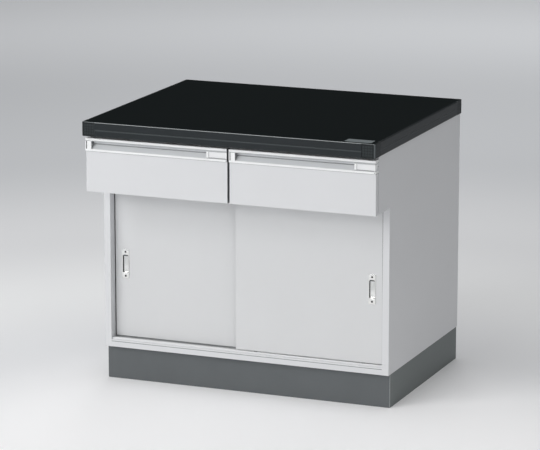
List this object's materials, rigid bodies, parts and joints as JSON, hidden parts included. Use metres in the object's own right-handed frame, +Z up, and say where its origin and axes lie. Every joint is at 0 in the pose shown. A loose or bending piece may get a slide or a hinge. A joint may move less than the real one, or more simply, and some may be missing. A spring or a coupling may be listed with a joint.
{
  "type": "wall lab bench",
  "caption": "Wall-side laboratory bench: black edged worktop, drawers with full-width finger-grip rails, a knee step, sliding cupboard doors with flush pulls and a recessed plinth.",
  "frame": {"origin": "on the floor, in the middle of the worktop's footprint", "axes": "+X along the worktop's width to the user's right, +Y from the user's side to the wall, +Z up"},
  "size_m": [0.9, 0.75, 0.8],
  "materials": {
    "black_laminate": "black chemical-resistant laminate, fine satin texture",
    "chipboard": "raw chipboard core",
    "grey_edging": "dark grey moulded edging, fine grain",
    "grey_board": "light grey melamine-faced board, satin",
    "drawer_board": "off-white wrapped drawer board, satin",
    "dark_board": "dark grey laminated board",
    "white_moulding": "white moulded plastic, semi-gloss",
    "card": "plain white card",
    "nylon": "natural nylon",
    "coated_steel": "white epoxy-coated sheet steel",
    "zinc_steel": "zinc-plated steel",
    "bright_metal": "bright nickel-plated steel"
  },
  "bodies": {
    "bench": {"worktop_core": "chipboard", "worktop_laminate": "black_laminate", "edging_front": "grey_edging", "edging_rear": "grey_edging", "edging_left": "grey_edging", "edging_right": "grey_edging", "corner_cap_front_left": "grey_edging", "corner_cap_front_right": "grey_edging", "corner_caps_rear": "grey_edging", "side_panel_left": "grey_board", "side_panel_right": "grey_board", "bottom_panel": "grey_board", "back_panel": "grey_board", "drawer_floor": "grey_board", "drawer_divider": "grey_board", "front_stretcher": "grey_board", "rear_stretcher": "grey_board", "shelf": "grey_board", "worktop_screws": "zinc_steel", "shelf_pegs": "bright_metal", "plinth_front": "dark_board", "plinth_rear": "dark_board", "plinth_sides": "dark_board", "fixed_runners": "coated_steel", "lower_track": "white_moulding", "upper_track": "white_moulding"},
    "left_drawer": {"left_drawer_front": "grey_board", "left_drawer_handle_rail": "white_moulding", "left_drawer_handle_cap": "white_moulding", "left_drawer_card_holder": "white_moulding", "left_drawer_label_card": "card", "left_drawer_sides": "drawer_board", "left_drawer_bottom": "drawer_board", "left_drawer_back": "drawer_board", "left_drawer_runner_rails": "coated_steel"},
    "right_drawer": {"right_drawer_front": "grey_board", "right_drawer_handle_rail": "white_moulding", "right_drawer_handle_cap": "white_moulding", "right_drawer_card_holder": "white_moulding", "right_drawer_label_card": "card", "right_drawer_sides": "drawer_board", "right_drawer_bottom": "drawer_board", "right_drawer_back": "drawer_board", "right_drawer_runner_rails": "coated_steel"},
    "left_door": {"left_door_panel": "grey_board", "left_door_pull": "bright_metal", "left_door_pull_screws": "bright_metal", "left_door_wheel_housings": "nylon"},
    "right_door": {"right_door_panel": "grey_board", "right_door_pull": "bright_metal", "right_door_pull_screws": "bright_metal", "right_door_wheel_housings": "nylon"},
    "left_drawer_front_rollers": {"left_drawer_front_rollers": "nylon"},
    "left_drawer_rear_rollers": {"left_drawer_rear_rollers": "nylon"},
    "right_drawer_front_rollers": {"right_drawer_front_rollers": "nylon"},
    "right_drawer_rear_rollers": {"right_drawer_rear_rollers": "nylon"},
    "left_door_wheel_left": {"left_door_wheel_left": "nylon"},
    "left_door_wheel_right": {"left_door_wheel_right": "nylon"},
    "right_door_wheel_left": {"right_door_wheel_left": "nylon"},
    "right_door_wheel_right": {"right_door_wheel_right": "nylon"}
  },
  "joints": [
    {"name": "left_drawer_slide", "type": "slide", "parent": "bench", "child": "left_drawer", "axis": [0, -1, 0], "range_m": [0, 0.4]},
    {"name": "right_drawer_slide", "type": "slide", "parent": "bench", "child": "right_drawer", "axis": [0, -1, 0], "range_m": [0, 0.4]},
    {"name": "left_door_slide", "type": "slide", "parent": "bench", "child": "left_door", "axis": [1, 0, 0], "range_m": [0, 0.39]},
    {"name": "right_door_slide", "type": "slide", "parent": "bench", "child": "right_door", "axis": [-1, 0, 0], "range_m": [0, 0.39]},
    {"name": "left_drawer_front_roller_spin", "type": "hinge", "parent": "bench", "child": "left_drawer_front_rollers", "pos_m": [-0.218, -0.319, 0.621], "axis": [1, 0, 0], "range_deg": [-10, 2874.8]},
    {"name": "left_drawer_rear_roller_spin", "type": "hinge", "parent": "left_drawer", "child": "left_drawer_rear_rollers", "pos_m": [-0.218, 0.201, 0.62155], "axis": [1, 0, 0], "range_deg": [-10, 2422.5]},
    {"name": "right_drawer_front_roller_spin", "type": "hinge", "parent": "bench", "child": "right_drawer_front_rollers", "pos_m": [0.218, -0.319, 0.621], "axis": [1, 0, 0], "range_deg": [-10, 2874.8]},
    {"name": "right_drawer_rear_roller_spin", "type": "hinge", "parent": "right_drawer", "child": "right_drawer_rear_rollers", "pos_m": [0.218, 0.201, 0.62155], "axis": [1, 0, 0], "range_deg": [-10, 2422.5]},
    {"name": "left_door_wheel_left_spin", "type": "hinge", "parent": "left_door", "child": "left_door_wheel_left", "pos_m": [-0.3635, -0.2025, 0.13305], "axis": [0, 1, 0], "range_deg": [-10, 3202.2]},
    {"name": "left_door_wheel_right_spin", "type": "hinge", "parent": "left_door", "child": "left_door_wheel_right", "pos_m": [-0.029, -0.2025, 0.13305], "axis": [0, 1, 0], "range_deg": [-10, 3202.2]},
    {"name": "right_door_wheel_left_spin", "type": "hinge", "parent": "right_door", "child": "right_door_wheel_left", "pos_m": [0.029, -0.2225, 0.13305], "axis": [0, 1, 0], "range_deg": [-3202.2, 10]},
    {"name": "right_door_wheel_right_spin", "type": "hinge", "parent": "right_door", "child": "right_door_wheel_right", "pos_m": [0.3635, -0.2225, 0.13305], "axis": [0, 1, 0], "range_deg": [-3202.2, 10]}
  ],
  "couplings": [
    {"joint": "left_drawer_front_roller_spin", "follows": "left_drawer_slide", "rad_per_m": 125},
    {"joint": "left_drawer_rear_roller_spin", "follows": "left_drawer_slide", "rad_per_m": 105.26},
    {"joint": "right_drawer_front_roller_spin", "follows": "right_drawer_slide", "rad_per_m": 125},
    {"joint": "right_drawer_rear_roller_spin", "follows": "right_drawer_slide", "rad_per_m": 105.26},
    {"joint": "left_door_wheel_left_spin", "follows": "left_door_slide", "rad_per_m": 142.86},
    {"joint": "left_door_wheel_right_spin", "follows": "left_door_slide", "rad_per_m": 142.86},
    {"joint": "right_door_wheel_left_spin", "follows": "right_door_slide", "rad_per_m": -142.86},
    {"joint": "right_door_wheel_right_spin", "follows": "right_door_slide", "rad_per_m": -142.86}
  ]
}
